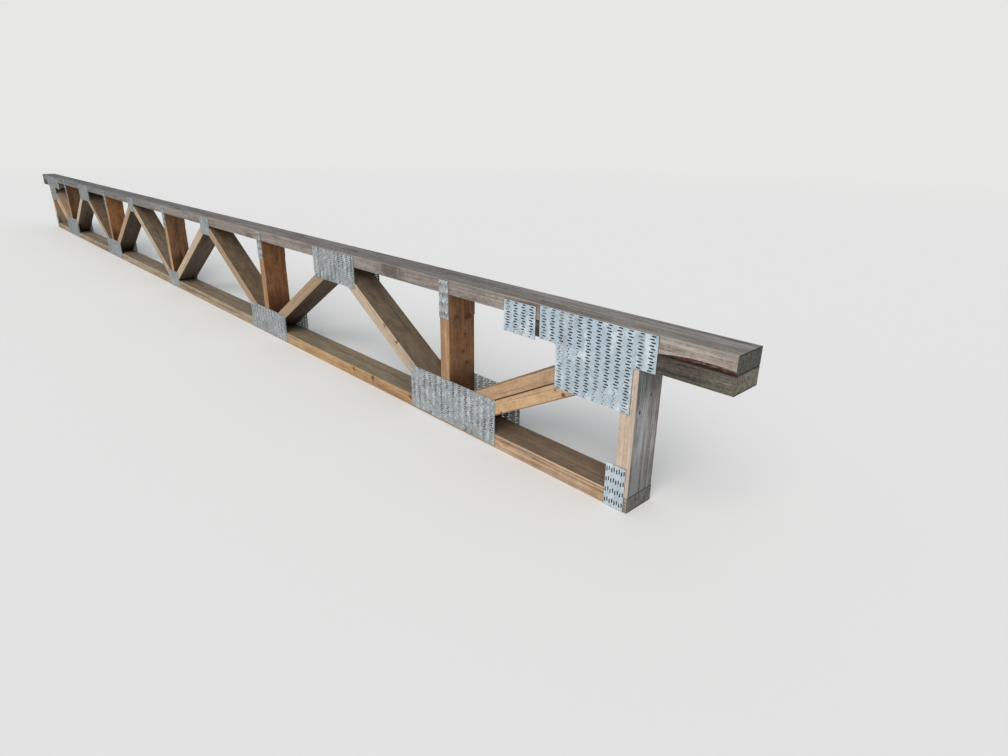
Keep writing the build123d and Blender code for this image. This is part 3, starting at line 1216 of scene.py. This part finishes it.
@dataclass
class WaneBark:
    """Strip of inner bark left on the wane of the top chord's right end."""

    middle_x: float = 2.9828
    depth: float = 0.0072
    sweep: float = 0.880
    slant: float = 0.83
    start_x: float = 2.915
    margin: float = 0.0012
    end_gap: float = 0.0011
    thickness: float = 0.0006
    lift: float = 0.0002
    rag: float = 0.0011
    stations: int = 8
    cuts: int = 11

    def build(self) -> None:
        """Model the strip flat, give it the wane's outline and sweep, and lay it there."""
        low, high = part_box("top_chord")
        start, end = self.start_x - self.middle_x, high.x - self.end_gap - self.middle_x
        deselect()
        bpy.ops.mesh.primitive_grid_add(x_subdivisions=self.stations, y_subdivisions=1, size=1)
        strip = bpy.context.object
        strip.name = strip.data.name = "wane_bark"
        strip.scale = (end - start, 1, 1)
        strip.location = ((start + end) / 2, 0, 0)
        settle(strip)
        for number in range(self.stations + 1):
            self.shape_station(strip, start + (end - start) * number / self.stations)
        self.tear(strip)
        self.roughen(strip)
        outward = Vector((0, -1, -self.slant)).normalized()
        across = outward.cross(Vector((1, 0, 0)))
        place = Matrix((Vector((1, 0, 0)), across, outward)).transposed().to_4x4()
        place.translation = Vector((self.middle_x, low.y, low.z)) + outward * (self.lift - self.depth)
        strip.matrix_world = place
        settle(strip)
        coat(strip, Bark().skin("inner_bark"))
        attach(strip, BODY)
        log.info("wane_bark: %d faces", len(strip.data.polygons))

    def shape_station(self, strip: Piece, x: float) -> None:
        """Set the strip's width and height at one place along it.

        Args:
            strip: Flat grid, one metre wide.
            x: Place of a row of vertices, from the wane's deepest place.
        """
        rise = x * x / (2 * self.sweep)
        depth = self.depth - rise
        width = (depth - self.margin) * (1 + self.slant**2) / self.slant
        middle = depth * (1 - self.slant**2) / (2 * self.slant)
        select_where(strip, "VERT", lambda at: abs(at.x - x) < NEAR)
        bpy.ops.transform.resize(value=(1, width, 1), center_override=(x, 0, 0))
        bpy.ops.transform.translate(value=(0, middle, rise))
        bpy.ops.object.mode_set(mode="OBJECT")

    def tear(self, strip: Piece) -> None:
        """Divide the strip finely and make its outline ragged."""
        pick(strip)
        bpy.ops.object.mode_set(mode="EDIT")
        bpy.ops.mesh.select_all(action="SELECT")
        bpy.ops.mesh.subdivide(number_cuts=self.cuts)
        bpy.ops.mesh.region_to_loop()
        bpy.ops.transform.vertex_random(offset=self.rag, uniform=0.6, normal=0.0, seed=4)
        bpy.ops.object.mode_set(mode="OBJECT")

    def roughen(self, strip: Piece) -> None:
        """Lift the strip's flakes and give it thickness."""
        for kind, size, strength in (("flakes", 0.009, 0.0008), ("crumbs", 0.0022, 0.0004)):
            texture = bpy.data.textures.new(kind, "CLOUDS")
            texture.noise_scale = size
            texture.noise_depth = 2
            lifted = strip.modifiers.new(kind, "DISPLACE")
            lifted.texture = texture
            lifted.texture_coords = "LOCAL"
            lifted.strength = strength
            lifted.mid_level = 0.5
        shell = strip.modifiers.new("shell", "SOLIDIFY")
        shell.thickness = self.thickness
        shell.offset = 0.0
        apply_modifiers(strip)


@dataclass
class Studio:
    """Camera, pale floor, soft sun and sky."""

    camera_place: Point = (3.49072, -1.02976, 0.74787)
    camera_turn: Point = (68.9783, -0.8102, 46.4744)
    focal_pixels: float = 628.7
    image_width: int = 1008
    sensor: float = 36.0
    backdrop: Colour = (0.80, 0.80, 0.79)
    floor_tint: Colour = (0.80, 0.785, 0.765)
    floor_size: float = 120.0
    floor_fade: tuple[float, float] = (4.5, 16.0)
    sky_tint: Colour = (0.86, 0.93, 1.0)
    sky_strength: float = 0.55
    sun_tint: Colour = (1.0, 0.97, 0.93)
    sun_strength: float = 2.2
    sun_width: float = 50.0
    sun_way: Point = (-0.38, 0.62, -0.70)

    def camera(self) -> None:
        """Set the camera at the photograph's place and angle."""
        lens = bpy.data.cameras.new("camera")
        lens.sensor_fit = "HORIZONTAL"
        lens.sensor_width = self.sensor
        lens.lens = self.focal_pixels / self.image_width * self.sensor
        lens.clip_start = 0.01
        eye = bpy.data.objects.new("camera", lens)
        eye.location = self.camera_place
        eye.rotation_euler = [math.radians(angle) for angle in self.camera_turn]
        bpy.context.scene.collection.objects.link(eye)
        bpy.context.scene.camera = eye

    def floor(self) -> None:
        """Lay a pale floor that fades into the backdrop far from the truss."""
        deselect()
        bpy.ops.mesh.primitive_plane_add(size=self.floor_size, location=(0, 0, 0))
        floor = bpy.context.object
        floor.name = "floor"
        skin = Skin("pale_floor")
        tint = {"Base Color": (*self.floor_tint, 1), "Roughness": 0.9, "Specular IOR Level": 0.1}
        near = skin.node("BsdfPrincipled", tint).outputs[0]
        far = skin.node("Emission", ((*self.backdrop, 1),)).outputs[0]
        share = skin.smooth(skin.length(skin.place), *self.floor_fade)
        coat(floor, skin.close(skin.node("MixShader", (share, near, far))))

    def sky(self) -> None:
        """Light the scene evenly and show the backdrop's colour behind it."""
        world = bpy.data.worlds.new("sky")
        bpy.context.scene.world = world
        sheet = NodeSheet(world)
        path = sheet.node("LightPath").outputs
        seen = path["Is Camera Ray"]
        for ray in ("Is Glossy Ray", "Is Transmission Ray"):
            seen = sheet.math("MAXIMUM", seen, path[ray])
        light = sheet.node("Background", ((*self.sky_tint, 1), self.sky_strength)).outputs[0]
        shown = sheet.node("Background", ((*self.backdrop, 1), 1.0)).outputs[0]
        sheet.close(sheet.node("MixShader", (seen, light, shown)), "OutputWorld")

    def sun(self) -> None:
        """Add one broad soft light from above, in front and to the right."""
        lamp = bpy.data.lights.new("soft_sun", "SUN")
        lamp.energy = self.sun_strength
        lamp.angle = math.radians(self.sun_width)
        lamp.color = self.sun_tint
        holder = bpy.data.objects.new("soft_sun", lamp)
        holder.rotation_euler = Vector(self.sun_way).to_track_quat("-Z", "Y").to_euler()
        bpy.context.scene.collection.objects.link(holder)

    def build(self) -> None:
        """Set up the view, the floor and the lights."""
        self.camera()
        self.floor()
        self.sky()
        self.sun()
        bpy.context.scene.view_settings.view_transform = "Standard"
        log.info("studio: camera, floor, sky and sun")


def main() -> None:
    """Dress the truss piece by piece and set the studio round it."""
    layout = Layout.read()
    Chords().dress()
    BearingEnd("right", layout, 100).dress()
    BearingEnd("left", layout, 130).dress()
    WebRun(layout).dress()
    NailPlates().dress()
    WaneBark().build()
    Studio().build()


if __name__ == "__main__":
    main()
